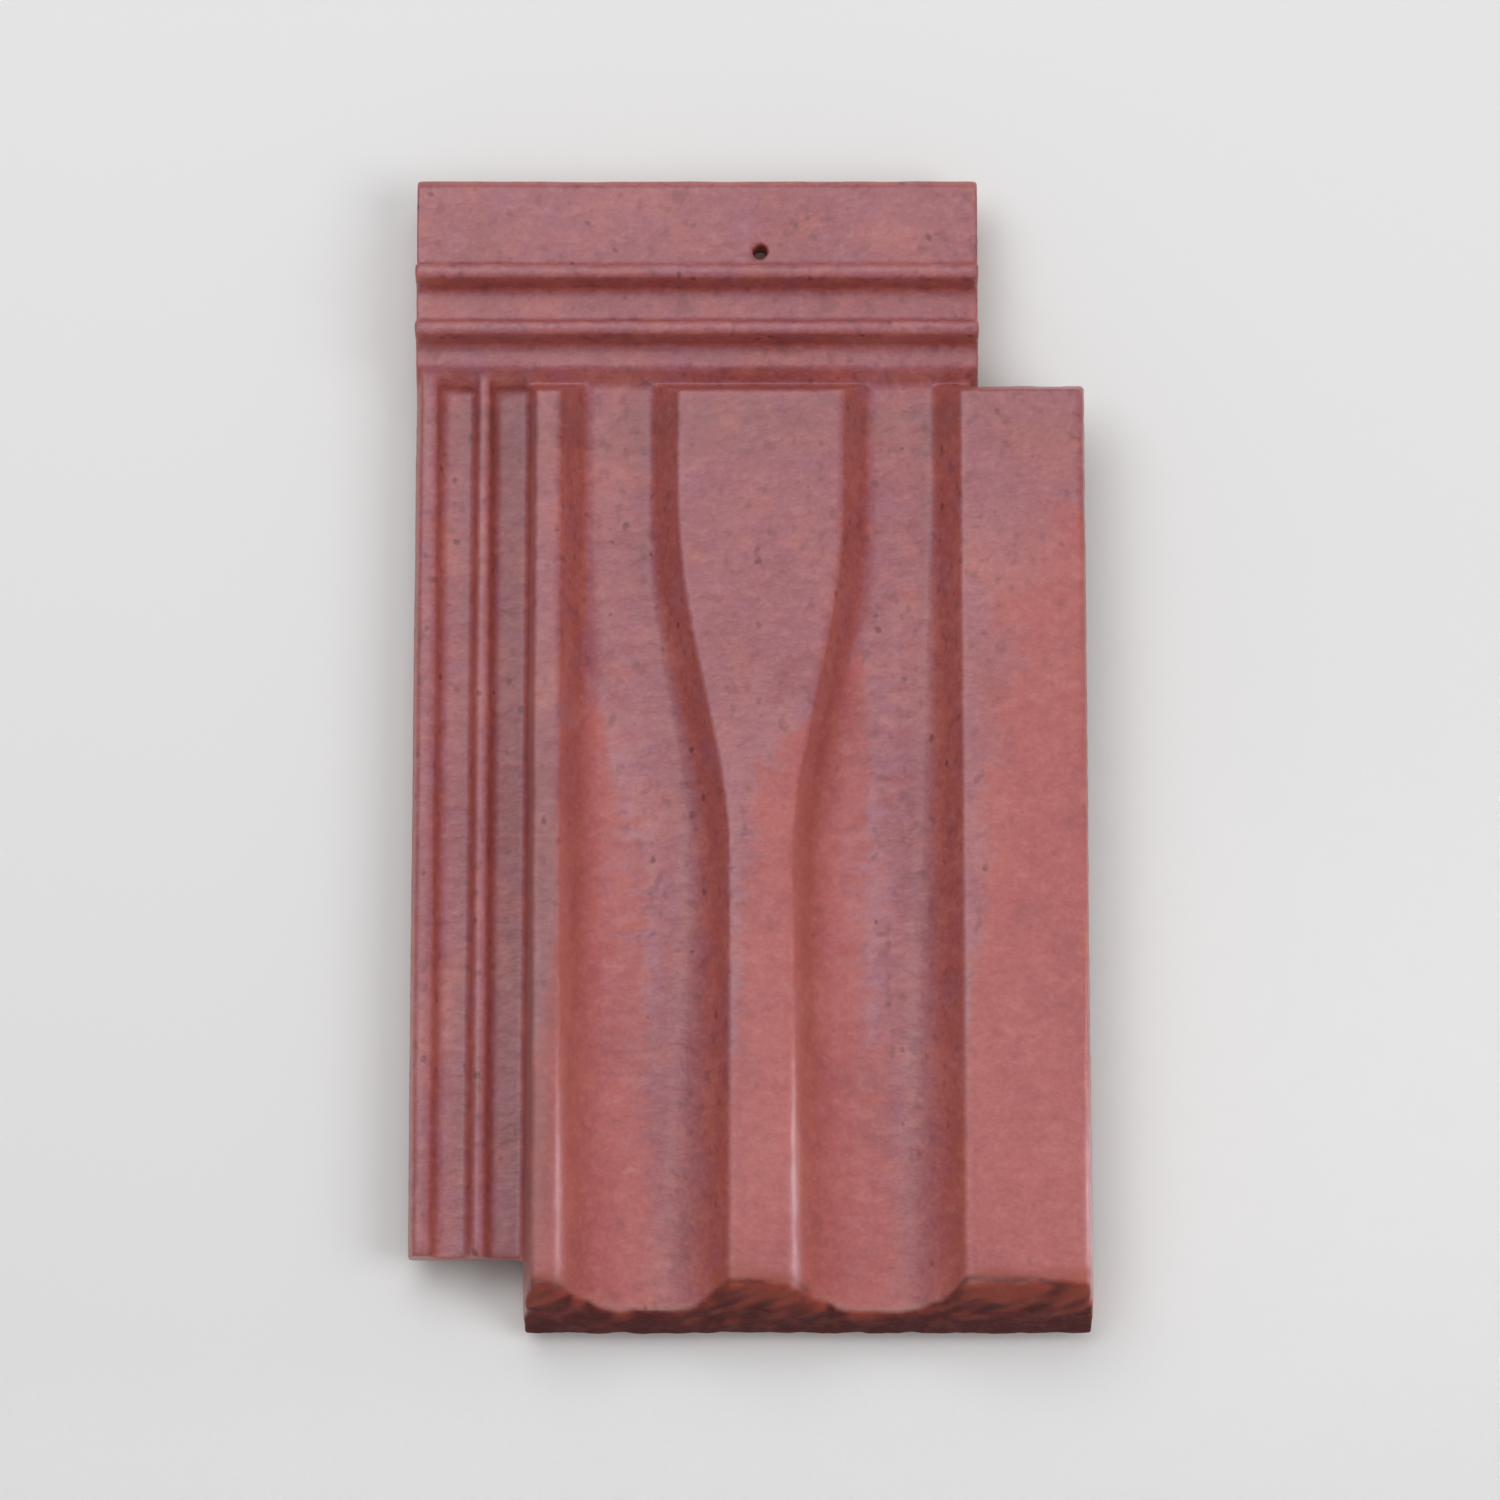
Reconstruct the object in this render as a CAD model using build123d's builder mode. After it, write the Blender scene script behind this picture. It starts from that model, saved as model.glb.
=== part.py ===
from build123d import *
import os
from math import radians, sin, tan

# An interlocking clay roof tile with two troughs, pressed and fired as one piece.
# While it is built, x runs across from the left strip's top edge, y up the slope from the
# foot and z up from the top of the batten. At the end it is set over its own middle.

# The tile as laid: what shows of it, and what the tile above covers
cover_width = 205.0
cover_length = 333.0
head_lap = 87.0
joint_width = 8.0

# Upper face
slope_angle = 62.0
left_strip = 9.0
right_strip = 44.0
trough_fall = 2.0
trough_radius_head = 4.0
trough_radius_foot = 30.0
bend_floor_share = 0.47
bend_side_share = 0.9
edge_radius = 1.8

# Middle rib, which narrows in a smooth neck below the cover line
rib_half_head = 29.8
rib_half_foot = 11.2
neck_start = 30.0
neck_length = 135.0
neck_skew = 1.12

# Body
wall = 11.0
under_bend_share = 0.8
rib_overrun = 5.0
rib_end_lean = 4.0
body_overlap = 7.0
neck_sections = 12

# Foot, with a leaning front and two ribs that drop behind the head of the tile below
foot_lean = 14.0
foot_drop = 2.5
foot_rib_gap = 0.5
foot_rib_width = 6.5
foot_rib_drop = 10.0
foot_rib_draft = 1.0
foot_wall_lean = 8.0
catch_rib_drop = 6.0

# Cross webs in the hollow of the middle rib
web_width = 6.0
web_draft = 1.5
web_bottom = 3.0
web_count = 2
head_web = 9.0

# Side lock, left: a plate with two ribs that the neighbour's flap covers
lock_step = 3.0
lock_inner_channel = 12.0
lock_inner_rib = 8.0
lock_outer_channel = 11.0
lock_outer_rib = 10.0
lock_plate = 8.0
lock_rib_height = 7.0
lock_rib_draft = 2.0
lock_front_gap = 2.0

# Cover flap, right: a rib and a lip that hang in the neighbour's channels
flap_draft = 1.5
flap_top_gap = 2.0
flap_floor_gap = 2.5
flap_rib_gap = 3.0
flap_lip_gap = 2.0

# Head deck with two water ribs across it
deck_bottom = 4.0
deck_thickness = 12.5
deck_ramp = 6.0
deck_gap = 1.0
water_rib_width = 5.0
water_rib_gap = 1.0
water_rib_draft = 2.0
foot_channel = 8.0
catch_channel = 12.0
head_chamfer = 3.0

# Bearing pads, lugs and nail hole
lug_setback = 20.0
lug_width = 36.0
lug_thickness = 13.0
lug_draft = 4.0
lug_corner = 2.5
nail_hole = 5.5
nail_setback = 7.5

# Across the tile
slope = radians(slope_angle)
half_turn = tan(slope / 2)
top_width = cover_width - joint_width
right_trough_end = top_width - right_strip
rib_centre = (left_strip + right_trough_end) / 2
inner_rib_start = lock_step + lock_inner_channel
outer_channel_start = inner_rib_start + lock_inner_rib
outer_rib_start = outer_channel_start + lock_outer_channel
lock_width = outer_rib_start + lock_outer_rib
deck_width = cover_width - deck_gap
deck_right = deck_width - lock_width
web_right = right_trough_end - wall / 2

# Heights. The troughs' undersides bear on the batten at the head.
lock_rib_top = lock_plate + lock_rib_height
ceiling = lock_rib_top + flap_top_gap
top = ceiling + wall
flap_lip = lock_plate + flap_floor_gap
deck_top = deck_bottom + deck_thickness
water_rib_top = top - water_rib_gap
cut_top = ceiling + wall / 2
far_above = top + wall
below_all = -foot_rib_drop - wall
far_below = below_all - wall

# Along the tile
tile_length = cover_length + head_lap
rib_end = cover_length + rib_overrun
deck_front = rib_end + rib_end_lean + deck_gap
body_end = deck_front + body_overlap
neck_foot = cover_length - neck_start - neck_length
neck_step = neck_length / neck_sections
sections_y = [0, *[neck_foot + number * neck_step for number in range(neck_sections + 1)], body_end]
foot_rib_start = rib_overrun + rib_end_lean + foot_rib_gap
foot_rib_end = foot_rib_start + foot_rib_width
lock_start = foot_rib_end + foot_wall_lean + lock_front_gap
water_rib_half = water_rib_width / 2 + water_rib_draft
first_water_rib = deck_front + deck_ramp + foot_channel + water_rib_half
second_water_rib = first_water_rib + catch_channel + 2 * water_rib_half
catch_rib = (first_water_rib + second_water_rib) / 2 - cover_length
head_web_start = rib_end - head_web
web_step = (head_web_start - catch_rib) / (web_count + 1)
lug_front = tile_length - lug_setback
lug_back = lug_front + lug_thickness


def ease(share):
    share = min(1.0, max(0.0, share))
    return share * share * (3.0 - 2.0 * share)


def foot_share(y):
    return min(1.0, max(0.0, 1.0 - y / (cover_length - neck_start)))


def trough_depth(y):
    return ceiling + trough_fall * foot_share(y)


def rib_half_width(y):
    share = max(0.0, cover_length - y - neck_start) / neck_length
    return rib_half_head - (rib_half_head - rib_half_foot) * ease(share**neck_skew)


def trough_radius(y):
    wanted = trough_radius_head + (trough_radius_foot - trough_radius_head) * foot_share(y)
    side = trough_depth(y) / tan(slope)
    floor = rib_centre - rib_half_width(y) - left_strip - 2 * side
    flat = min(bend_floor_share * floor, bend_side_share * trough_depth(y) / sin(slope))
    return min(wanted, flat / half_turn)


def profile(corners):
    """A closed outline through corners of x, z and the radius of the turn there."""
    points = [(x, z) for x, z, radius in corners]
    radii = [radius for x, z, radius in corners]
    FilletPolyline(*points, radius=radii, close=True)


def upper_corners(y):
    """The pressed upper face at y, closed by upright sides and a flat bottom."""
    floor = top - trough_depth(y)
    side = trough_depth(y) / tan(slope)
    rib = rib_half_width(y)
    bend = trough_radius(y)
    return [
        (-lock_step, below_all, 0),
        (-lock_step, lock_plate, 0),
        (0, top, edge_radius),
        (left_strip, top, edge_radius),
        (left_strip + side, floor, bend),
        (rib_centre - rib - side, floor, bend),
        (rib_centre - rib, top, edge_radius),
        (rib_centre + rib, top, edge_radius),
        (rib_centre + rib + side, floor, bend),
        (right_trough_end - side, floor, bend),
        (right_trough_end, top, edge_radius),
        (top_width, top, edge_radius),
        (top_width + flap_draft, flap_lip, 0),
        (top_width + flap_draft, below_all, 0),
    ]


def under_corners(y):
    """What the lower mould fills at y: all that lies under the walls, ribs and flap."""
    under = top - trough_depth(y) - wall
    run = (ceiling - under) / tan(slope)
    inside = wall * half_turn
    hollow = rib_half_width(y) - inside
    slant = (ceiling - under) / sin(slope)
    bulge = min(trough_radius(y) + wall / 2, under_bend_share * slant / half_turn)
    flap_wall = right_trough_end + inside
    flap_rib = cover_width - outer_channel_start - lock_outer_channel / 2
    flap_rib_half = lock_outer_channel / 2 - flap_rib_gap
    lip = cover_width - inner_rib_start + flap_lip_gap
    outside = top_width + flap_draft + wall
    return [
        (-lock_width, far_below, 0),
        (-lock_width, under, 0),
        (rib_centre - hollow - run, under, bulge),
        (rib_centre - hollow, ceiling, edge_radius),
        (rib_centre + hollow, ceiling, edge_radius),
        (rib_centre + hollow + run, under, bulge),
        (flap_wall - run, under, bulge),
        (flap_wall, ceiling, edge_radius),
        (flap_rib - flap_rib_half - lock_rib_draft, ceiling, edge_radius),
        (flap_rib - flap_rib_half, flap_lip, edge_radius / 2),
        (flap_rib + flap_rib_half, flap_lip, edge_radius / 2),
        (flap_rib + flap_rib_half + lock_rib_draft, ceiling, edge_radius),
        (lip - lock_rib_draft, ceiling, edge_radius),
        (lip, flap_lip, edge_radius / 2),
        (outside, flap_lip, 0),
        (outside, far_below, 0),
    ]


# The upper mould's face, on a solid block
with BuildPart() as block:
    for y in sections_y:
        with BuildSketch(Plane.XZ.offset(-y)):
            with BuildLine():
                profile(upper_corners(y))
            make_face()
    loft(ruled=True)

# The lower mould bites under the tile only where a comb lets it, seen from the side. The
# comb's gaps leave the foot wall, the catch rib and the webs. Under the flap it has none.
comb_front = [
    (foot_rib_end, far_below),
    (foot_rib_end, -foot_rib_drop),
    (foot_rib_end + foot_wall_lean, cut_top),
]
comb = list(comb_front)
for gap in range(web_count + 1):
    web_y = catch_rib + gap * web_step
    bottom = -catch_rib_drop if gap == 0 else web_bottom
    comb.append((web_y - web_width / 2 - web_draft, cut_top))
    comb.append((web_y - web_width / 2, bottom))
    comb.append((web_y + web_width / 2, bottom))
    comb.append((web_y + web_width / 2 + web_draft, cut_top))
comb.append((head_web_start - web_draft, cut_top))
comb.append((head_web_start, web_bottom))
comb.append((tile_length, web_bottom))
comb.append((tile_length, far_below))
flap_comb = comb_front + [(tile_length, cut_top), (tile_length, far_below)]
bites = [(-lock_width, web_right, comb), (web_right, cover_width + lock_width, flap_comb)]

with BuildPart() as comb_bite:
    for left, right, line in bites:
        with BuildSketch(Plane.YZ.offset(left)):
            with BuildLine():
                Polyline(*line, close=True)
            make_face()
        extrude(amount=right - left)

with BuildPart() as lower_mould:
    for y in sections_y:
        with BuildSketch(Plane.XZ.offset(-y)):
            with BuildLine():
                profile(under_corners(y))
            make_face()
    loft(ruled=True)
    add(comb_bite, mode=Mode.INTERSECT)

# The body's outline, seen from the side. The ribs' ends slope down into the deck's ramp, and
# the flap stops short of the neighbour's deck.
rib_end_slope = rib_end_lean / (top - deck_top)
body_low = deck_bottom + deck_ramp / 3
outline_top = [
    (0, -foot_drop),
    (foot_lean * (far_above + foot_drop) / (top + foot_drop), far_above),
    (rib_end - rib_end_slope * (far_above - top), far_above),
]
body_head = [
    (rib_end + rib_end_slope * (top - body_low), body_low),
    (body_end, body_low),
    (body_end, far_below),
]
flap_head = [
    (rib_end + rib_end_lean, deck_top),
    (rib_end + rib_end_lean, far_below),
]
outline_foot = [
    (foot_rib_end, far_below),
    (foot_rib_end, -foot_rib_drop),
    (foot_rib_start, -foot_rib_drop),
    (foot_rib_start - foot_rib_draft, -foot_drop),
]
body_line = outline_top + body_head + outline_foot
flap_line = outline_top + flap_head + outline_foot
outlines = [(-lock_width, deck_right, body_line), (deck_right, cover_width + lock_width, flap_line)]

with BuildPart() as outline:
    for left, right, line in outlines:
        with BuildSketch(Plane.YZ.offset(left)):
            with BuildLine():
                Polyline(*line, close=True)
            make_face()
        extrude(amount=right - left)

# Side lock, a plate with two water ribs along the left edge
lock_line = [
    (0, 0, 0),
    (0, lock_plate, 0),
    (-inner_rib_start, lock_plate, edge_radius),
    (-inner_rib_start - lock_rib_draft, lock_rib_top, edge_radius / 2),
    (-outer_channel_start + lock_rib_draft, lock_rib_top, edge_radius / 2),
    (-outer_channel_start, lock_plate, edge_radius),
    (-outer_rib_start, lock_plate, edge_radius),
    (-outer_rib_start - lock_rib_draft, lock_rib_top, edge_radius),
    (-lock_width + lock_rib_draft, lock_rib_top, edge_radius),
    (-lock_width, lock_plate, 0),
    (-lock_width, 0, edge_radius),
]

# Head deck, seen from the side, with two water ribs across it
deck_line = [
    (deck_front, deck_bottom, 0),
    (deck_front, deck_top - deck_ramp, 0),
    (deck_front + deck_ramp, deck_top, edge_radius),
]
for rib_y in (first_water_rib, second_water_rib):
    deck_line.append((rib_y - water_rib_half, deck_top, edge_radius))
    deck_line.append((rib_y - water_rib_width / 2, water_rib_top, edge_radius))
    deck_line.append((rib_y + water_rib_width / 2, water_rib_top, edge_radius))
    deck_line.append((rib_y + water_rib_half, deck_top, edge_radius))
deck_line.append((tile_length - head_chamfer, deck_top, edge_radius))
deck_line.append((tile_length, deck_top - head_chamfer, edge_radius / 2))
deck_line.append((tile_length, deck_bottom, edge_radius))

# Under the middle of each trough a pad bears on the batten and ends in a lug
trough_middles = [
    (left_strip + rib_centre - rib_half_head) / 2,
    (rib_centre + rib_half_head + right_trough_end) / 2,
]

with BuildPart() as pressed_tile:
    add(block)
    add(lower_mould, mode=Mode.SUBTRACT)
    add(outline, mode=Mode.INTERSECT)
    with BuildSketch(Plane.XZ.offset(-lock_start)):
        with BuildLine():
            profile(lock_line)
        make_face()
    extrude(amount=lock_start - lug_front)
    with BuildSketch(Plane.YZ.offset(-lock_width)):
        with BuildLine():
            profile(deck_line)
        make_face()
    extrude(amount=deck_width)
    with BuildSketch(Plane.XY):
        for x in trough_middles:
            with Locations((x, (deck_front + lug_back) / 2)):
                RectangleRounded(lug_width, lug_back - deck_front, lug_corner)
    extrude(amount=deck_bottom + deck_thickness / 2)
    with BuildSketch(Plane.XY):
        for x in trough_middles:
            with Locations((x, (lug_front + lug_back) / 2)):
                RectangleRounded(lug_width, lug_back - lug_front, lug_corner)
    extrude(amount=-foot_rib_drop, taper=lug_draft)
    with Locations((rib_centre, lug_front - nail_setback, deck_top)):
        Hole(nail_hole / 2)

# Set over its own middle, resting on the foot rib and the lugs
middle_x = (top_width + flap_draft - lock_width) / 2

with BuildPart() as roof_tile:
    with Locations((-middle_x, -tile_length / 2, foot_rib_drop)):
        add(pressed_tile.part)

os.makedirs("parts", exist_ok=True)
roof_tile.part.label = "roof_tile"
export_step(roof_tile.part, "parts/roof_tile.step")
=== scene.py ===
import bmesh
import bpy
import math
import numpy as np
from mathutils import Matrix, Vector, noise


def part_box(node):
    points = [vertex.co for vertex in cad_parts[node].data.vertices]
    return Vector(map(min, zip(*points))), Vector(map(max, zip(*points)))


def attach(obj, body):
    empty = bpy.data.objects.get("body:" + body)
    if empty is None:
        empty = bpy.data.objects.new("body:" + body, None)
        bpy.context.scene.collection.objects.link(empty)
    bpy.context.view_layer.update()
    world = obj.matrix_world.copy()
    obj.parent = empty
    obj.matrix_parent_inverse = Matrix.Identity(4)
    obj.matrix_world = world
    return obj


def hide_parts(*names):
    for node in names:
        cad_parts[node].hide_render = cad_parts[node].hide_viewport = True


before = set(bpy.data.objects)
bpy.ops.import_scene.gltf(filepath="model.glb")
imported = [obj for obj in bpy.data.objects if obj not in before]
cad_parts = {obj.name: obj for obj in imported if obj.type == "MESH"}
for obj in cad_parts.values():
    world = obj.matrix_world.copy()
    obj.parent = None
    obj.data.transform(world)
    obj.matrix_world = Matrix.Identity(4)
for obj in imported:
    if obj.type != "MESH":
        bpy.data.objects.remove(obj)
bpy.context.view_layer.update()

# Roof tile. One clot of clay pressed between two moulds, coated with a thin slip and fired, so its broad
# faces are slightly wavy and its pressed edges are soft. It stands for the CAD solid.

# The solid, gone over with an even skin of points
skin_step = 0.0011
pressed = bmesh.new()
pressed.from_mesh(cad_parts["roof_tile"].data)
bmesh.ops.remove_doubles(pressed, verts=pressed.verts, dist=2e-6)
blank_mesh = bpy.data.meshes.new("blank_tile")
pressed.to_mesh(blank_mesh)
pressed.free()
blank = bpy.data.objects.new("blank_tile", blank_mesh)
bpy.context.scene.collection.objects.link(blank)
even = blank.modifiers.new("even", "REMESH")
even.mode = "VOXEL"
even.voxel_size = skin_step
soften = blank.modifiers.new("soften", "SMOOTH")
soften.factor = 0.5
soften.iterations = 3
skin = bpy.data.meshes.new_from_object(blank.evaluated_get(bpy.context.evaluated_depsgraph_get()))
bpy.data.objects.remove(blank)

# Places on the tile, in mm: u across from the cover's left edge, v up from the foot, h up from the batten
lowest, highest = (np.array(corner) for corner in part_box("roof_tile"))
side_lock_width = 44.0
batten_height = 10.0
tile_start = np.round(-lowest * 1000, 3) - (side_lock_width, 0.0, batten_height)
cover_edge = -1.0
left_strip_edge = 9.0
left_slope_middle = 14.0
rib_middle = 81.0
rib_slope = 3.0
right_slope_middle = 149.0
right_strip_edge = 153.0
flap_edge = 197.0
rib_half_head = 29.8
rib_narrowing = 18.6
neck_top = 303.0
neck_length = 135.0
neck_skew = 1.12
trough_floor = 11.0
front_lean = 0.459
front_bottom = -2.5


def skin_points(mesh):
    """Each point's place in metres, and the way it faces."""
    found = []
    for kind in ("co", "normal"):
        numbers = np.empty(len(mesh.vertices) * 3)
        mesh.vertices.foreach_get(kind, numbers)
        found.append(numbers.reshape(-1, 3))
    return found


def on_tile(place):
    u, v, h = (place * 1000 + tile_start).T
    return u, v, h, v - front_lean * (h - front_bottom)


def rib_half_width(v):
    narrowing = np.clip((neck_top - v) / neck_length, 0, 1) ** neck_skew
    return rib_half_head - rib_narrowing * narrowing * narrowing * (3 - 2 * narrowing)


def climb(value, start, end):
    return np.clip((value - start) / (end - start), 0, 1)


# How far the clay strays from the moulds, in mm
bow_depth = 0.35
wave_depth = 0.16
ripple_depth, floor_ripple_depth = 0.1, 0.15
dimple_depth = 0.08
torn_foot, torn_reach = -3.0, 5.0
streak_depth, crumb_depth, torn_loss = 0.8, 0.6, 0.25
streak_run, streak_climb = 0.85, 0.53
crease_behind, crease_wander = 2.2, 2.8
crease_depth, crease_width = 0.7, 0.9


def pressed_relief(p, h):
    """The bow and the waves of drying, and the finer marks of the mould."""
    bow = noise.noise(p * 7.0 + Vector((3, 1, 0))) * bow_depth
    wave = noise.noise(p * 24.0) * wave_depth
    in_floor = max(0.0, 1.0 - abs(h - trough_floor) / 5.0)
    ripple = noise.noise(Vector((p.x * 120.0, p.y * 270.0, p.z * 120.0)))
    ripple *= ripple_depth + floor_ripple_depth * in_floor
    dimple = noise.noise(Vector((p.x * 60.0, p.y * 90.0, p.z * 60.0))) * dimple_depth
    return (bow + wave) * min(1.0, max(0.0, (h + 2.0) / 8.0)) + ripple + dimple


def torn_relief(p, h, behind_front):
    """Slanting streaks and crumbs where the front was cut off, and the crease over them."""
    along = p.x * streak_run + p.z * streak_climb
    over = p.z * streak_run - p.x * streak_climb
    streak = noise.noise(Vector((along * 40.0, over * 260.0, p.y * 60.0))) * streak_depth
    crumbs = noise.fractal(p * 120.0, 0.9, 2.1, 4) * crumb_depth
    torn = streak + crumbs - torn_loss
    torn *= min(1.0, (torn_reach - behind_front) / 4.5, 0.5 + (h - torn_foot) / 24.0)
    off_crease = behind_front - crease_behind + noise.noise(p * 60.0) * crease_wander
    crease = crease_depth * math.exp(-((off_crease / crease_width) ** 2))
    return torn - crease * min(1.0, max(0.0, (h - 17.0) / 4.0))


place, out = skin_points(skin)
u, v, h, behind_front = on_tile(place)
push = np.zeros(len(place))
for i, point in enumerate(place):
    push[i] = pressed_relief(Vector(point), h[i])
    if behind_front[i] < torn_reach and h[i] > torn_foot:
        push[i] += torn_relief(Vector(point), h[i], behind_front[i])
inside_box = 2e-5
place = np.clip(place + out * push[:, None] / 1000.0, lowest + inside_box, highest - inside_box)
skin.vertices.foreach_set("co", place.reshape(-1))
skin.update()

# Worn round at the foot, most of all along the right-hand edges, then thinned to fewer triangles
most_triangles = 190000
nose_passes, edge_passes = 12, 60
tile = bpy.data.objects.new("tile_body", skin)
bpy.context.scene.collection.objects.link(tile)
rib = rib_half_width(v)
near_nose = climb(behind_front, 9.0, 4.0) * climb(h, -1.0, 3.0)
near_foot = climb(v, 170.0, 80.0) * climb(h, 12.0, 18.0)
worn = np.maximum(near_nose, near_foot)
shoulders = (left_strip_edge + 0.5, rib_middle + 0.5 + rib)
rolled = sum(np.exp(-(((u - shoulder) / 6.0) ** 2)) for shoulder in shoulders)
rolled += 0.5 * np.exp(-(((u - flap_edge) / 4.0) ** 2))
rolled = np.clip(rolled, 0, 1) * climb(v, 125.0, 65.0) * climb(h, 12.0, 17.0)
for name, share, passes in (("worn", worn, nose_passes), ("rolled", rolled, edge_passes)):
    group = tile.vertex_groups.new(name=name)
    for level in range(1, 11):
        picked = np.nonzero(np.round(share * 10) == level)[0]
        group.add([int(i) for i in picked], level / 10.0, "REPLACE")
    wear = tile.modifiers.new(name, "SMOOTH")
    wear.vertex_group = name
    wear.factor = 0.5
    wear.iterations = passes
thin = tile.modifiers.new("thin", "DECIMATE")
thin.ratio = min(1.0, most_triangles / (2.0 * len(skin.polygons)))
tile_mesh = bpy.data.meshes.new_from_object(tile.evaluated_get(bpy.context.evaluated_depsgraph_get()))
tile.modifiers.clear()
tile.vertex_groups.clear()
tile.data = tile_mesh
for polygon in tile_mesh.polygons:
    polygon.use_smooth = True

# Where the finish changes, kept on the mesh's points
place, out = skin_points(tile_mesh)
u, v, h, behind_front = on_tile(place)
rib = rib_half_width(v)
in_left_trough = (u > left_slope_middle) & (u < rib_middle - rib_slope - rib)
in_right_trough = (u > rib_middle + rib_slope + rib) & (u < right_slope_middle)
in_trough = in_left_trough | in_right_trough


def blend(value, start, end):
    share = climb(value, start, end)
    return share * share * (3 - 2 * share)


def ridge(value, middle, width):
    return np.exp(-(((value - middle) / width) ** 2))


def cloud(waves, shift=0.0):
    """Soft patches, with so many waves to the metre along each axis."""
    return np.array([noise.noise(Vector(p)) for p in place * np.array(waves) + shift])


def crumble(waves, octaves, shift=0.0):
    """Patches within patches."""
    return np.array([noise.fractal(Vector(p), 0.9, 2.0, octaves) for p in place * waves + shift])


def band_line(off_edge):
    return 238.0 - 0.0046 * np.clip(off_edge, 0, 60) ** 3


def slant_line(off_edge, highest_end, fall, reach):
    return highest_end - fall * np.exp(-np.clip(off_edge, 0, 99) / reach)


def slip_line(u):
    """How far up from the foot the colour turns from salmon to mauve, the mauve being painted sky reflection
    and painted shade. The side lock is mauve all over.
    """
    on_rib = u - rib_middle + rib
    left_of_rib = on_rib < -rib_slope
    right_of_rib = on_rib > 2 * rib + 4.0
    line = np.where(u < cover_edge, -100.0, 105.0 + 4.0 * u)
    line = np.where((u >= left_slope_middle) & left_of_rib, band_line(u - left_strip_edge), line)
    line = np.where(~left_of_rib & ~right_of_rib, slant_line(on_rib, 218.0, 145.0, 10.0), line)
    line = np.where(right_of_rib & (u < right_slope_middle), band_line(u - rib_middle - rib), line)
    return np.where(u >= right_slope_middle, slant_line(u - right_strip_edge, 300.0, 215.0, 8.0), line)


# The distance above that line, made ragged, and brushed along the troughs
beside = 0.2
slant = np.clip((slip_line(u + beside) - slip_line(u - beside)) / (2 * beside), -12, 12)
above = (v - slip_line(u)) / np.sqrt(1 + slant * slant)
brushed = cloud((170.0, 14.0, 170.0), 3.0)
ragged = cloud((150.0, 240.0, 150.0), 8.0)
above += cloud((15.0, 15.0, 15.0), 5.0) * 8.0 + brushed * np.where(in_trough, 7.0, 3.0)
above += ragged * np.where(in_trough, 4.5, 3.2) + cloud((420.0, 520.0, 420.0)) * 1.3
above += cloud((28.0, 13.0, 28.0), 11.0) * np.where(in_trough, 5.0, 0.0)
soft = np.where(in_trough, 3.6 + 3.0 * blend(v, 150.0, 60.0), 1.5)
mauve = blend(above, -soft, soft) * np.where(in_trough, 1.0 - 0.35 * blend(v, 90.0, 30.0), 1.0)
pale_in_trough = blend(above, 6.0, 2.5) * blend(v, 90.0, 130.0)
pale = mauve * np.where(in_trough, pale_in_trough, blend(above, 17.0, 1.5) * 0.7)

# A painted pale sheen along the middle of each trough
across = np.where(u < rib_middle, u - left_strip_edge, u - rib_middle - rib)
trough_sheen = np.exp(-(((across - 28.0) / 12.0) ** 2) - ((v - 165.0) / 75.0) ** 2) * in_trough
trough_sheen *= np.clip(0.45 + brushed * 0.6 + ragged * 0.9, 0, 1)

# Dirt and a painted shadow of the course above where the lap ends near the head,
# and a painted shadow of the neighbour's flap along the joint on the left
dirt_and_shadow = blend(v, 306.0, 331.0) * blend(v, 337.0, 333.0) * np.clip(0.55 + ragged * 0.9, 0, 1)
joint_shadow = blend(u, 11.0, 6.0) * blend(u, -3.0, -1.0) * blend(v, 290.0, 150.0)
dirt_and_shadow += joint_shadow * np.clip(0.8 + ragged * 0.8, 0, 1)

# The right-hand edges towards the foot, painted with a pale highlight and made glossier
edge_highlight = 0.45 * ridge(u, left_strip_edge + 1.0, 1.5) + 0.75 * ridge(u, rib_middle + 0.8 + rib, 1.8)
edge_highlight = (edge_highlight + ridge(u, flap_edge - 0.2, 1.3)) * blend(v, 105.0, 40.0) * blend(h, 12.0, 20.0)
edge_highlight *= np.clip(0.75 + ragged * 0.7, 0, 1)
gloss = 0.3 + blend(v, 170.0, 90.0) * np.where(in_trough, 0.1, 0.3) + edge_highlight * 0.25

# The torn front, the worn nose over it, the crease between them with painted shade in it,
# and the lip that ends each trough with a painted highlight along it
wander = cloud((48.0, 48.0, 48.0)) * 1.5 + cloud((150.0, 150.0, 150.0)) * 0.9
front = blend(behind_front + wander, 3.2, 1.2)
nose = blend(behind_front + wander * 3.0, 8.5, 4.5) * blend(h, 16.0, 21.0)
lip = blend(behind_front + wander, 5.0, 3.0) * blend(h, 16.0, 12.0)
crease = ridge(behind_front + cloud((60.0, 60.0, 60.0)) * crease_wander, crease_behind, 1.1)
crease *= blend(h, 17.0, 21.0)
crease *= np.clip(0.75 + cloud((90.0, 90.0, 90.0), 2.0) * 1.2, 0, 1)
turned = place @ np.array([[streak_run, -streak_climb, 0], [0, 0, 1.0], [streak_climb, streak_run, 0]])
torn_streak = np.array([noise.noise(Vector(p)) for p in turned * (60.0, 230.0, 60.0)])
torn_streak += crumble(130.0, 3) * 0.35

mottle = crumble(30.0, 3)
patchy = crumble(95.0, 3, 4.0)
under = np.clip((0.05 - out[:, 2] + mottle * 0.15) / 0.3, 0, 1)
for name, values in (
    ("mauve", mauve), ("pale", pale), ("trough_sheen", trough_sheen), ("gloss", gloss), ("dirt_and_shadow", dirt_and_shadow), ("mottle", mottle),
    ("patchy", patchy), ("edge_highlight", edge_highlight), ("front", front), ("nose", nose), ("crease", crease), ("lip", lip),
    ("height", h), ("torn_streak", torn_streak), ("under", under),
):
    kept = tile_mesh.attributes.new(name, "FLOAT", "POINT")
    kept.data.foreach_set("value", values)
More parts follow.
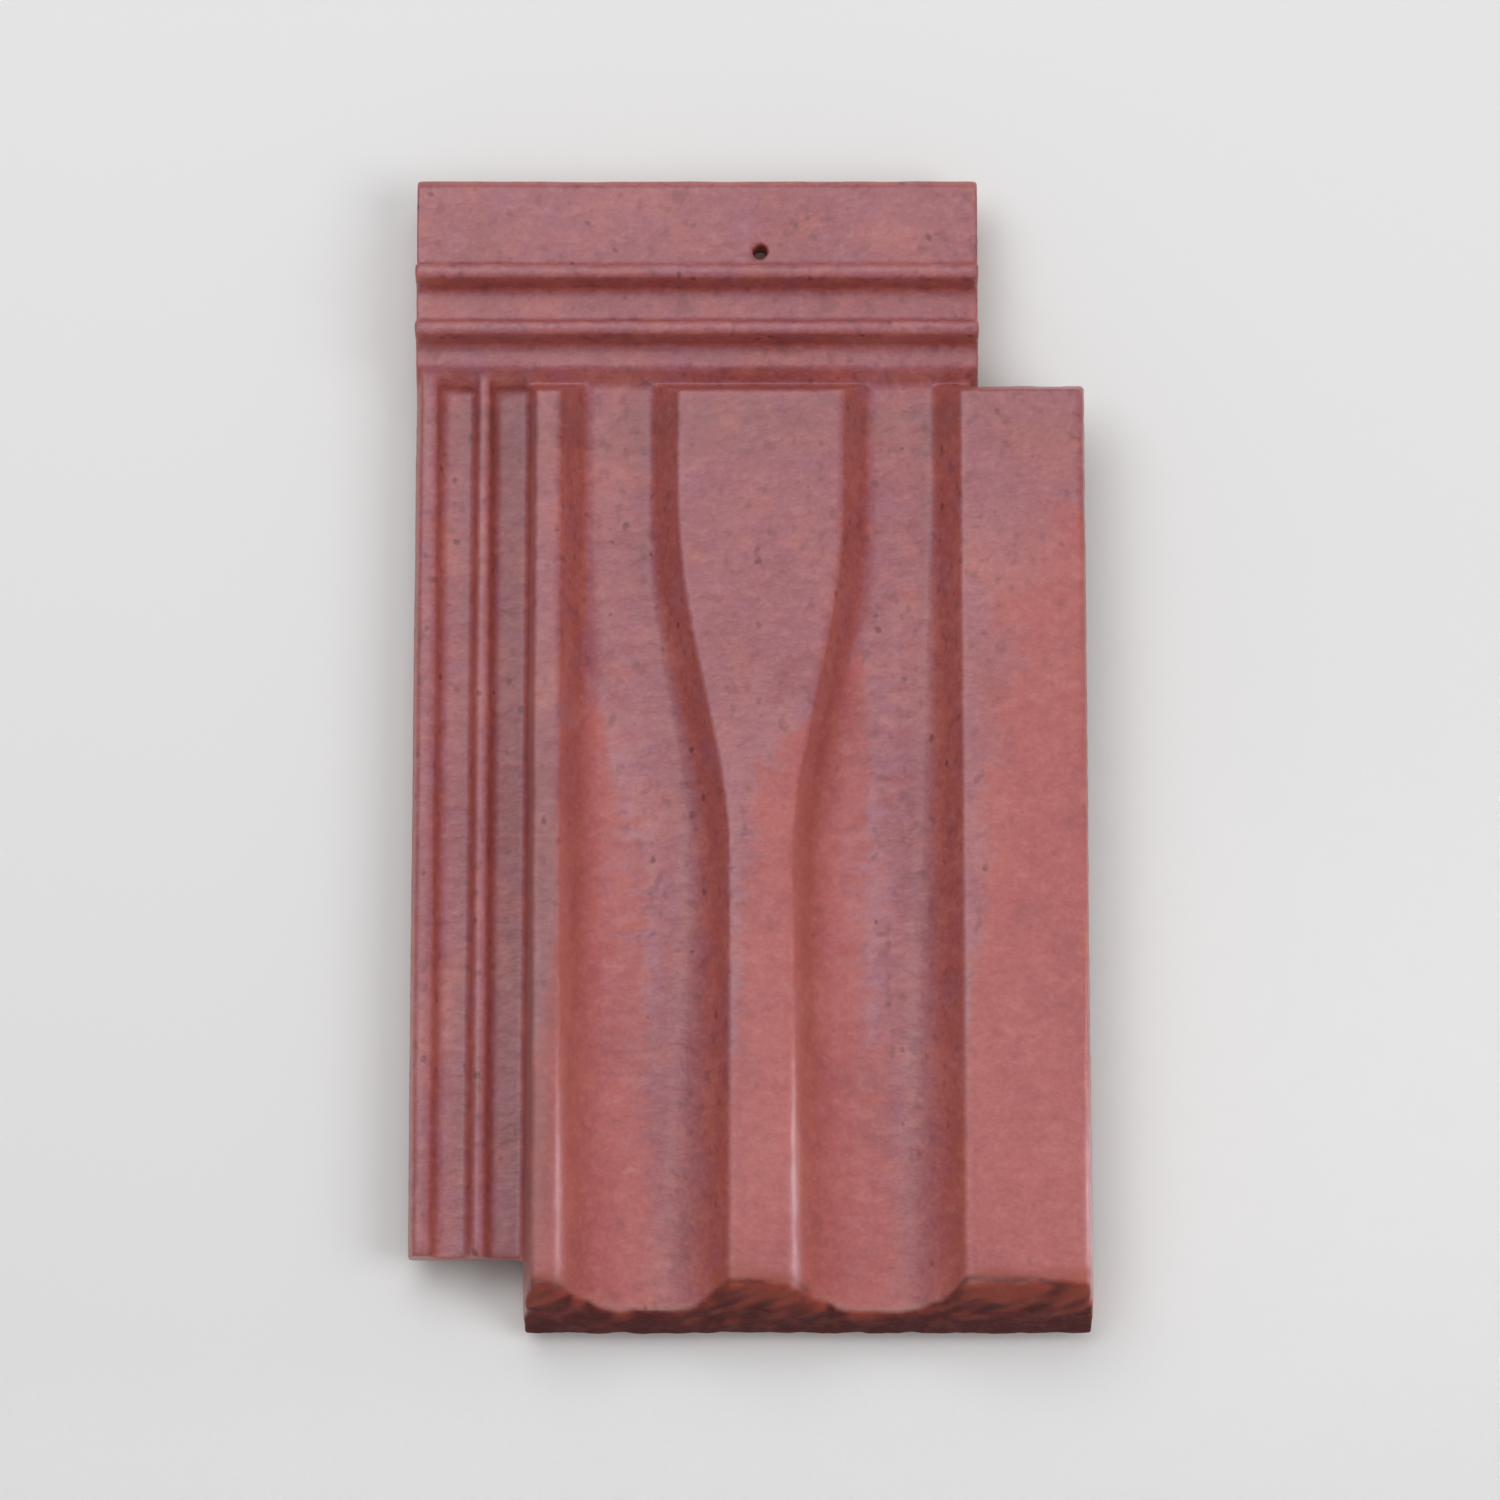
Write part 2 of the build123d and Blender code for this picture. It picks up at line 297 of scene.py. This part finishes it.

# Engobed clay. The slip on the upper face is salmon, and mauve where a reflection of the sky and shade are
# painted on and the slip is left smoother, with kiln specks. The torn foot and the underside are bare clay.
salmon_slip, mauve_sheen_and_shade = (0.418, 0.104, 0.099, 1), (0.325, 0.096, 0.116, 1)
pale_slip, lilac_sheen = (0.43, 0.19, 0.21, 1), (0.41, 0.2, 0.27, 1)
slope_shade = (0.39, 0.092, 0.07, 1)
light_mottle, dark_mottle = (0.5, 0.16, 0.13, 1), (0.27, 0.06, 0.06, 1)
warm_salmon, warm_mauve = (0.48, 0.13, 0.115, 1), (0.48, 0.14, 0.11, 1)
cool_salmon, cool_mauve = (0.35, 0.085, 0.09, 1), (0.31, 0.1, 0.15, 1)
light_drag, dark_drag = (0.52, 0.2, 0.19, 1), (0.27, 0.06, 0.07, 1)
light_grain, dark_grain = (0.6, 0.27, 0.24, 1), (0.2, 0.05, 0.05, 1)
grime_and_shadow = (0.19, 0.078, 0.072, 1)
light_blot, dark_blot = (0.52, 0.23, 0.23, 1), (0.2, 0.055, 0.065, 1)
kiln_speck = (0.15, 0.035, 0.04, 1)
pale_highlight = (0.6, 0.38, 0.46, 1)
lip_highlight, nose_clay = (0.4, 0.21, 0.18, 1), (0.33, 0.07, 0.045, 1)
torn_low, torn_high, torn_grit = (0.085, 0.012, 0.012, 1), (0.3, 0.055, 0.035, 1), (0.36, 0.1, 0.07, 1)
raw_dark, raw_light = (0.37, 0.125, 0.068, 1), (0.46, 0.17, 0.095, 1)
raw_drag, raw_pit = (0.53, 0.24, 0.15, 1), (0.24, 0.07, 0.04, 1)
crease_shade = (0.085, 0.015, 0.014, 1)

clay = bpy.data.materials.new("engobed_clay")
clay.use_nodes = True
nodes, links = clay.node_tree.nodes, clay.node_tree.links
shader = nodes["Principled BSDF"]


def node(kind, values=None, **settings):
    made = nodes.new(kind)
    for name, value in settings.items():
        setattr(made, name, value)
    for socket, value in (values or {}).items():
        if isinstance(value, bpy.types.NodeSocket):
            links.new(value, made.inputs[socket])
        else:
            made.inputs[socket].default_value = value
    return made


def maths(operation, *values):
    return node("ShaderNodeMath", dict(enumerate(values)), operation=operation).outputs[0]


def ramp(value, start, end, start_value=0.0, end_value=1.0):
    made = node("ShaderNodeMapRange", {0: value, 1: start, 2: end, 3: start_value, 4: end_value})
    made.interpolation_type = "SMOOTHSTEP"
    return made.outputs[0]


def stretched(spot, stretch):
    return node("ShaderNodeMapping", {"Vector": spot, "Scale": stretch}).outputs[0]


def grain(waves, detail, roughness, stretch=(1, 1, 1)):
    pattern = {"Scale": waves, "Detail": detail, "Roughness": roughness}
    return node("ShaderNodeTexNoise", {"Vector": stretched(spot, stretch), **pattern}).outputs


def kept_value(name, amount=1.0):
    value = node("ShaderNodeAttribute", attribute_name=name).outputs["Fac"]
    return value if amount == 1.0 else maths("MULTIPLY", value, amount)


def mixed(share, first, second):
    return node("ShaderNodeMix", {0: share, 6: first, 7: second}, data_type="RGBA").outputs[2]


def layered(colour, *layers):
    for share, tone in layers:
        colour = mixed(share, colour, tone)
    return colour


spot = node("ShaderNodeTexCoord").outputs["Object"]
facing = node("ShaderNodeSeparateXYZ", {0: node("ShaderNodeNewGeometry").outputs["Normal"]}).outputs[2]
fine = grain(620.0, 1.0, 0.6)[0]
drag, drag_colour = grain(170.0, 2.0, 0.6, (1.0, 1.6, 1.0))
blot = grain(215.0, 1.0, 0.45, (1.0, 0.9, 1.0))[0]
in_mauve, on_front, beneath, mottling, patches = (
    kept_value(name) for name in ("mauve", "front", "under", "mottle", "patchy")
)
bare = maths("MAXIMUM", on_front, beneath)
speckled = maths("MULTIPLY_ADD", in_mauve, 0.7, 0.3)

# Kiln specks of uneven size and strength, nudged off their places by the drag
speck_nudge = (0.003, 0.003, 0.003)
speck_cells = 210.0
speck_spot = node("ShaderNodeVectorMath", {0: drag_colour, 1: speck_nudge, 2: spot}, operation="MULTIPLY_ADD")
speck_spot = stretched(speck_spot.outputs[0], (1.0, 0.85, 1.0))
cells = node("ShaderNodeTexVoronoi", {"Vector": speck_spot, "Scale": speck_cells})
chance = node("ShaderNodeSeparateXYZ", {0: cells.outputs["Color"]})
speck_size = ramp(chance.outputs[0], 0.45, 1.0, 0.0, 0.27)
speck = ramp(maths("SUBTRACT", cells.outputs["Distance"], speck_size), 0.09, -0.12)
speck = maths("MULTIPLY", speck, ramp(chance.outputs[1], 0.2, 1.0, 0.25, 0.85))

slip = layered(
    # Salmon, and mauve where painted sky reflection and painted shade lie
    mixed(in_mauve, salmon_slip, mauve_sheen_and_shade),
    (kept_value("pale", 0.5), pale_slip),
    # Painted sheen along the middle of the troughs
    (kept_value("trough_sheen", 0.6), lilac_sheen),
    # Steep faces painted darker and more orange by the way they face: painted shade
    (ramp(facing, 0.94, 0.62, 0.0, 0.85), slope_shade),
    (ramp(mottling, 0.0, 0.8, 0.0, 0.3), light_mottle),
    (ramp(mottling, 0.0, -0.8, 0.0, 0.35), dark_mottle),
    (ramp(patches, 0.05, 0.7, 0.0, 0.33), mixed(in_mauve, warm_salmon, warm_mauve)),
    (ramp(patches, -0.05, -0.7, 0.0, 0.4), mixed(in_mauve, cool_salmon, cool_mauve)),
    (ramp(drag, 0.52, 0.7, 0.0, 0.22), light_drag),
    (ramp(drag, 0.48, 0.3, 0.0, 0.25), dark_drag),
    (ramp(fine, 0.5, 0.7, 0.0, 0.1), light_grain),
    (ramp(fine, 0.48, 0.3, 0.0, 0.12), dark_grain),
    # Dirt and painted shadow at the head, painted shadow by the joint
    (kept_value("dirt_and_shadow", 0.45), grime_and_shadow),
    (maths("MULTIPLY", ramp(blot, 0.58, 0.74, 0.0, 0.5), speckled), dark_blot),
    (ramp(blot, 0.42, 0.28, 0.0, 0.14), light_blot),
    (maths("MULTIPLY", speck, speckled), kiln_speck),
    # Painted highlight on the right-hand edges near the foot
    (kept_value("edge_highlight", 0.75), pale_highlight),
    # Painted highlight along the trough lips
    (kept_value("lip", 0.4), lip_highlight),
    (kept_value("nose", 0.65), nose_clay),
)
raw_clay = layered(
    mixed(ramp(mottling, -0.7, 0.7), raw_dark, raw_light),
    (ramp(drag, 0.35, 0.65, 0.0, 0.2), raw_drag),
    (ramp(fine, 0.5, 0.35, 0.0, 0.35), raw_pit),
)
# The torn clay is darker towards the bottom of the front
torn_height = maths("MULTIPLY_ADD", kept_value("torn_streak"), 14.0, kept_value("height"))
torn_clay = layered(
    mixed(ramp(torn_height, 6.0, 27.0), torn_low, torn_high),
    (ramp(drag, 0.45, 0.7, 0.0, 0.18), torn_grit),
)
colour = layered(slip, (beneath, raw_clay), (on_front, torn_clay), (kept_value("crease", 0.85), crease_shade))
links.new(colour, shader.inputs["Base Color"])

dry_roughness, fused_roughness, bare_roughness = 0.5, 0.38, 0.9
roughness = ramp(in_mauve, 0.0, 1.0, dry_roughness, fused_roughness)
roughness = maths("MULTIPLY_ADD", fine, 0.12, roughness)
roughness = maths("MAXIMUM", roughness, maths("MULTIPLY", bare, bare_roughness))
links.new(roughness, shader.inputs["Roughness"])
glaze = maths("MULTIPLY", ramp(bare, 0.0, 0.6, 1.0, 0.0), kept_value("gloss"))
links.new(glaze, shader.inputs["Coat Weight"])
shader.inputs["Coat Roughness"].default_value = 0.36
shader.inputs["IOR"].default_value = 1.5

slip_drag, torn_drag = 0.44, 0.6
slip_grit, bare_grit = 0.05, 0.35
drag_relief = maths("MULTIPLY", drag, maths("MULTIPLY_ADD", on_front, torn_drag, slip_drag))
relief = maths("MULTIPLY_ADD", fine, maths("MULTIPLY_ADD", bare, bare_grit, slip_grit), drag_relief)
bump = node("ShaderNodeBump", {"Height": relief, "Distance": 0.001, "Strength": 1.0})
links.new(bump.outputs[0], shader.inputs["Normal"])
tile_mesh.materials.clear()
tile_mesh.materials.append(clay)

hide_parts("roof_tile")
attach(tile, "root")

# Studio: a plain pale floor that fades into an even distance, a wide sky, a soft key and a low light that
# catches the edges on the right.
floor_reach = 20.0
floor_grey, distance_grey = 0.8, 0.76
fade_start, fade_end = 0.9, 3.5
sky_strength = 0.35
plan = bmesh.new()
bmesh.ops.create_grid(plan, x_segments=1, y_segments=1, size=floor_reach)
floor_mesh = bpy.data.meshes.new("floor")
plan.to_mesh(floor_mesh)
plan.free()
floor = bpy.data.objects.new("floor", floor_mesh)
bpy.context.scene.collection.objects.link(floor)

pale_floor = bpy.data.materials.new("pale_floor")
pale_floor.use_nodes = True
nodes, links = pale_floor.node_tree.nodes, pale_floor.node_tree.links
near = nodes["Principled BSDF"]
near.inputs["Base Color"].default_value = (floor_grey, floor_grey, floor_grey, 1)
near.inputs["Roughness"].default_value = 0.9
far = node("ShaderNodeEmission", {"Color": (distance_grey, distance_grey, distance_grey, 1), "Strength": 1.0})
floor_spot = node("ShaderNodeTexCoord").outputs["Object"]
distance = node("ShaderNodeVectorMath", {0: floor_spot}, operation="LENGTH").outputs["Value"]
seen = node("ShaderNodeLightPath").outputs["Is Camera Ray"]
seen_far = maths("MULTIPLY", ramp(distance, fade_start, fade_end), seen)
faded = node("ShaderNodeMixShader", {0: seen_far, 1: near.outputs[0], 2: far.outputs[0]})
links.new(faded.outputs[0], nodes["Material Output"].inputs["Surface"])
floor_mesh.materials.append(pale_floor)

world = bpy.data.worlds.new("studio")
world.use_nodes = True
nodes, links = world.node_tree.nodes, world.node_tree.links
background = nodes["Background"]
background.inputs["Color"].default_value = (1, 1, 1, 1)
seen = node("ShaderNodeLightPath").outputs["Is Camera Ray"]
brightness = maths("MULTIPLY_ADD", seen, distance_grey - sky_strength, sky_strength)
links.new(brightness, background.inputs["Strength"])
bpy.context.scene.world = world


def soft_light(name, at, aim, wide, tall, power, turn=0.0, spread=180.0):
    lamp = bpy.data.lights.new(name, "AREA")
    lamp.shape = "RECTANGLE"
    lamp.size = wide
    lamp.size_y = tall
    lamp.energy = power
    lamp.spread = math.radians(spread)
    lamp_object = bpy.data.objects.new(name, lamp)
    lamp_object.location = at
    lamp_object.rotation_euler = (Vector(aim) - Vector(at)).to_track_quat("-Z", "Y").to_euler()
    lamp_object.rotation_euler.rotate_axis("Z", math.radians(turn))
    lamp_object.visible_camera = False
    bpy.context.scene.collection.objects.link(lamp_object)
    return lamp_object


by_edges = (0.05, -0.15, 0.03)
soft_light("sky", at=(-0.79, 1.29, 2.2), aim=(-0.79, 1.29, 0), wide=2.4, tall=2.4, power=40, turn=41)
key = soft_light("key", at=(1.3, -0.3, 1.6), aim=(0, 0, 0), wide=1.2, tall=1.2, power=14)
key.visible_glossy = False
soft_light("glint", at=(1.5, 0.01, 0.23), aim=by_edges, wide=0.09, tall=0.26, power=0.06, spread=18.0)

# Camera: a long lens, a little below square on the laid face
lens = bpy.data.cameras.new("camera")
lens.lens = 150
lens.sensor_width = 36
lens.clip_start = 0.05
lens.clip_end = 100
camera = bpy.data.objects.new("camera", lens)
bpy.context.scene.collection.objects.link(camera)
lift = math.radians(79)
span = 2.25
aim = Vector((0, 0, 0.015))
camera.location = aim + Vector((0, -math.cos(lift), math.sin(lift))) * span
camera.rotation_euler = (aim - camera.location).to_track_quat("-Z", "Y").to_euler()
bpy.context.scene.camera = camera
bpy.context.scene.view_settings.view_transform = "Standard"
